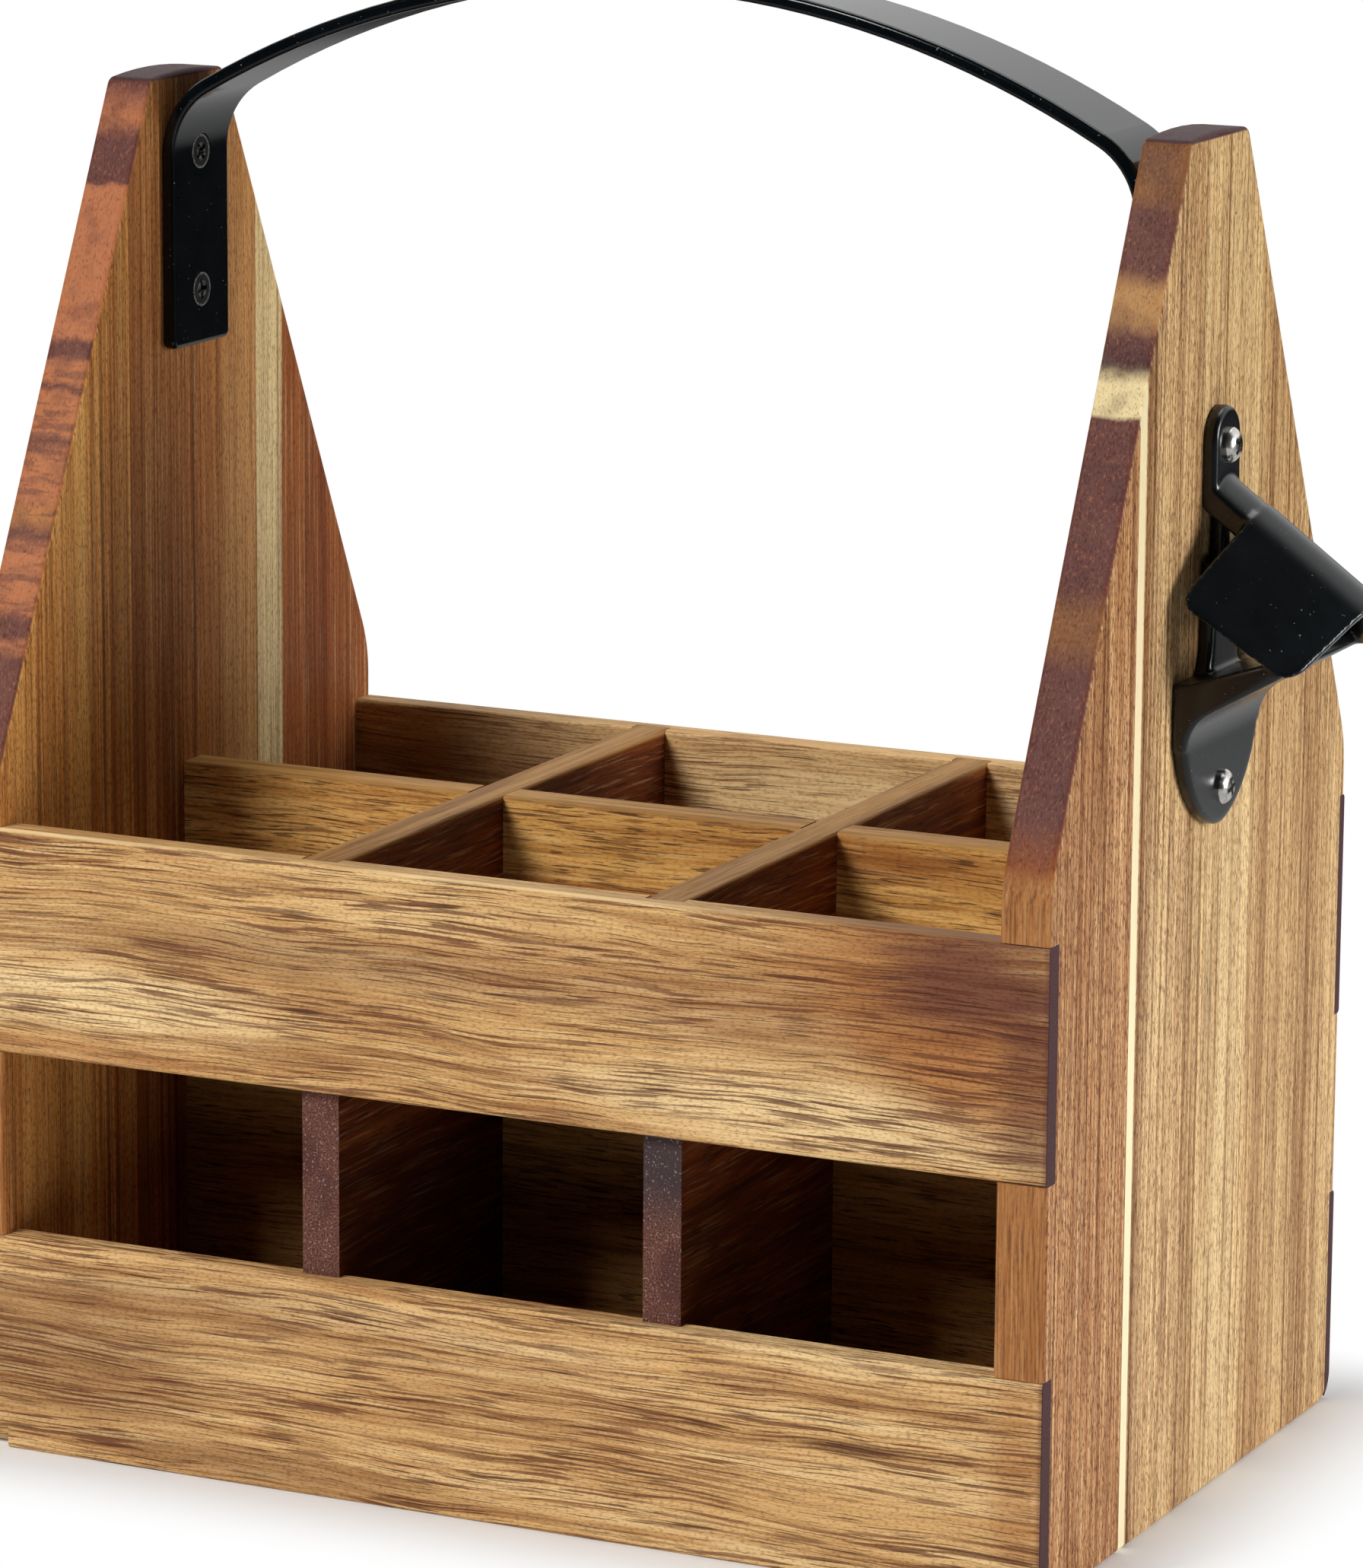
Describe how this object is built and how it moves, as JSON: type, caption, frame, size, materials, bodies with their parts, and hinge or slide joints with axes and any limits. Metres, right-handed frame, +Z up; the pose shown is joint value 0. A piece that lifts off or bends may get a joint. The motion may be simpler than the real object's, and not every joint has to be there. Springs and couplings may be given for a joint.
{
  "type": "bottle caddy",
  "caption": "Slatted wooden bottle caddy with tall tapered end panels, crossing dividers, a black strap handle arched between the ends and a hooded bottle opener on one end.",
  "frame": {"origin": "centre of the wooden body's underside, midway between the end panels and the slats", "axes": "+X along the caddy towards the end with the bottle opener, +Y towards the rear, +Z up"},
  "size_m": [0.3003, 0.172, 0.3296],
  "materials": {
    "acacia_panel": "oiled acacia, upright grain",
    "acacia_slat": "oiled acacia, grain along the caddy",
    "acacia_divider": "oiled acacia, dark reddish brown",
    "acacia_floor": "oiled acacia",
    "black_strap": "satin black coated flat steel",
    "black_casting": "satin black coated casting",
    "black_screw": "black screw, worn recess",
    "bright_screw": "bright plated steel"
  },
  "bodies": {
    "root": {"left_end_stave_1": "acacia_panel", "left_end_stave_2": "acacia_panel", "left_end_stave_3": "acacia_panel", "right_end_stave_1": "acacia_panel", "right_end_stave_2": "acacia_panel", "right_end_stave_3": "acacia_panel", "right_end_stave_4": "acacia_panel", "front_lower_slat": "acacia_slat", "front_upper_slat": "acacia_slat", "rear_lower_slat": "acacia_slat", "rear_upper_slat": "acacia_slat", "left_cross_divider": "acacia_divider", "right_cross_divider": "acacia_divider", "long_divider": "acacia_divider", "front_floor_board": "acacia_floor", "middle_floor_board": "acacia_floor", "rear_floor_board": "acacia_floor", "strap_handle": "black_strap", "handle_screws": "black_screw", "bottle_opener": "black_casting", "opener_screws": "bright_screw"}
  },
  "joints": []
}
